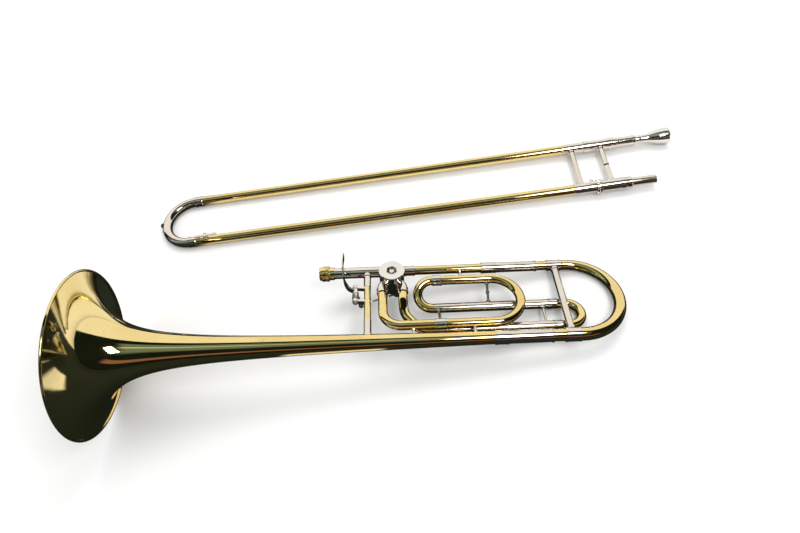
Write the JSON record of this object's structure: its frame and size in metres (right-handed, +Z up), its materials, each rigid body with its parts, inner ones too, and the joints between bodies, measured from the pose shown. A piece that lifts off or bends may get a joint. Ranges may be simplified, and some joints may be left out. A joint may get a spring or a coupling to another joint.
{
  "type": "trombone with valve attachment",
  "caption": "Brass slide instrument: flared bell section with a thumb-lever rotary valve and looped attachment tubing, with its hand slide and mouthpiece laid beside it.",
  "frame": {"origin": "centre of the bounding box at floor level", "axes": "+X from the bell's mouth towards the tuning slide's bow, +Y towards the hand slide lying beside the bell section, +Z up"},
  "size_m": [0.853, 0.4488, 0.2143],
  "materials": {
    "lacquered_brass": "polished and clear-lacquered",
    "nickel_silver": "polished nickel silver",
    "silver_plate": "polished silver plate",
    "steel": "satin",
    "rubber": "matt",
    "cork": "natural cork"
  },
  "bodies": {
    "bell_section": {"bell": "lacquered_brass", "bell_rim_bead": "lacquered_brass", "body_ferrules": "nickel_silver", "tuning_slide_sleeves": "nickel_silver", "neck_pipe": "lacquered_brass", "receiver_tube": "nickel_silver", "receiver_collar": "lacquered_brass", "hand_stay_sockets": "nickel_silver", "hand_stay_bar": "lacquered_brass", "valve_casing": "nickel_silver", "valve_knuckles": "nickel_silver", "bearing_plate": "nickel_silver", "valve_cap": "silver_plate", "bumper_plate": "nickel_silver", "stop_bumpers": "rubber", "lever_bracket": "nickel_silver", "lever_pivot_screw": "steel", "lever_spring": "steel", "valve_port_ferrules": "nickel_silver", "outlet_crook": "lacquered_brass", "return_crook": "lacquered_brass", "large_loop": "lacquered_brass", "attachment_ferrules": "nickel_silver", "left_bow": "lacquered_brass", "attachment_slide_sleeves": "nickel_silver", "attachment_stays": "nickel_silver"},
    "lock_nut": {"receiver_lock_nut": "lacquered_brass"},
    "thumb_lever_body": {"thumb_lever": "nickel_silver", "linkage_screw": "steel"},
    "rod": {"linkage_rod": "nickel_silver"},
    "rotor": {"valve_rotor": "nickel_silver", "stop_arm": "nickel_silver", "stop_arm_screws": "steel"},
    "attachment_slide": {"attachment_slide_legs": "nickel_silver", "attachment_slide_ferrules": "nickel_silver", "attachment_slide_bow": "lacquered_brass"},
    "tuning_slide": {"tuning_slide_legs": "lacquered_brass", "tuning_slide_ferrules": "nickel_silver", "tuning_slide_bow": "lacquered_brass", "tuning_slide_brace": "nickel_silver", "tuning_brace_socket": "nickel_silver"},
    "inner_slide": {"inner_slide_tubes": "silver_plate", "cork_barrels": "nickel_silver", "slide_corks": "cork", "grip_brace": "nickel_silver", "mouthpiece_receiver": "nickel_silver", "slide_tenon": "nickel_silver"},
    "slide_lock": {"slide_lock_ring": "nickel_silver"},
    "mouthpiece_body": {"mouthpiece": "silver_plate"},
    "outer_slide": {"outer_slide_tubes": "lacquered_brass", "outer_end_sleeves": "nickel_silver", "outer_brace": "nickel_silver", "hand_slide_bow": "nickel_silver", "hand_slide_ferrules": "nickel_silver", "slide_rubber_tip": "rubber", "water_key_fittings": "nickel_silver", "water_key_screw": "steel"},
    "drain_key": {"water_key": "nickel_silver", "water_key_cork": "cork"}
  },
  "joints": [
    {"name": "lock_nut_turn", "type": "hinge", "parent": "bell_section", "child": "lock_nut", "pos_m": [-0.12385, -0.00118, 0.05315], "axis": [0.9921, -0.0186, -0.1241], "continuous": true},
    {"name": "thumb_lever_press", "type": "hinge", "parent": "bell_section", "child": "thumb_lever_body", "pos_m": [-0.07597, -0.04381, 0.05543], "axis": [0, 0.989, -0.1478], "range_deg": [0, 25.72], "stiffness_Nm_per_rad": 0.1, "springref_deg": -22.92, "deforming": ["lever_spring"]},
    {"name": "rod_swing", "type": "hinge", "parent": "thumb_lever_body", "child": "rod", "pos_m": [-0.07331, -0.04234, 0.02805], "axis": [0, 0.989, -0.1478], "range_deg": [-25.72, 0]},
    {"name": "rotor_turn", "type": "hinge", "parent": "bell_section", "child": "rotor", "pos_m": [-0.02622, -0.01655, 0.04296], "axis": [0.1255, 0.1466, 0.9812], "range_deg": [-90, 0]},
    {"name": "attachment_slide_draw", "type": "slide", "parent": "bell_section", "child": "attachment_slide", "axis": [0.9921, -0.0186, -0.1241], "range_m": [0, 0.026]},
    {"name": "tuning_slide_draw", "type": "slide", "parent": "bell_section", "child": "tuning_slide", "axis": [0.9921, -0.0186, -0.1241], "range_m": [-0.0146, 0.034]},
    {"name": "hand_slide_lift", "type": "slide", "parent": "bell_section", "child": "inner_slide", "axis": [0, 0, 1], "range_m": [0, 0.25]},
    {"name": "slide_lock_turn", "type": "hinge", "parent": "inner_slide", "child": "slide_lock", "pos_m": [0.29243, 0.12554, 0.01262], "axis": [1, 0, 0.0064], "range_deg": [-30, 0]},
    {"name": "mouthpiece_pull", "type": "slide", "parent": "inner_slide", "child": "mouthpiece_body", "axis": [1, 0, 0.0064], "range_m": [0, 0.06]},
    {"name": "hand_slide_run", "type": "slide", "parent": "inner_slide", "child": "outer_slide", "axis": [-1, 0, -0.0064], "range_m": [0, 0.6]},
    {"name": "water_key_press", "type": "hinge", "parent": "outer_slide", "child": "drain_key", "pos_m": [-0.32464, 0.12554, 0.0215], "axis": [0, 1, 0], "range_deg": [0, 10], "stiffness_Nm_per_rad": 0.03, "springref_deg": -22.92}
  ],
  "couplings": [
    {"joint": "rotor_turn", "follows": "thumb_lever_press", "ratio": -3.4986},
    {"joint": "rod_swing", "follows": "thumb_lever_press", "ratio": -1}
  ]
}
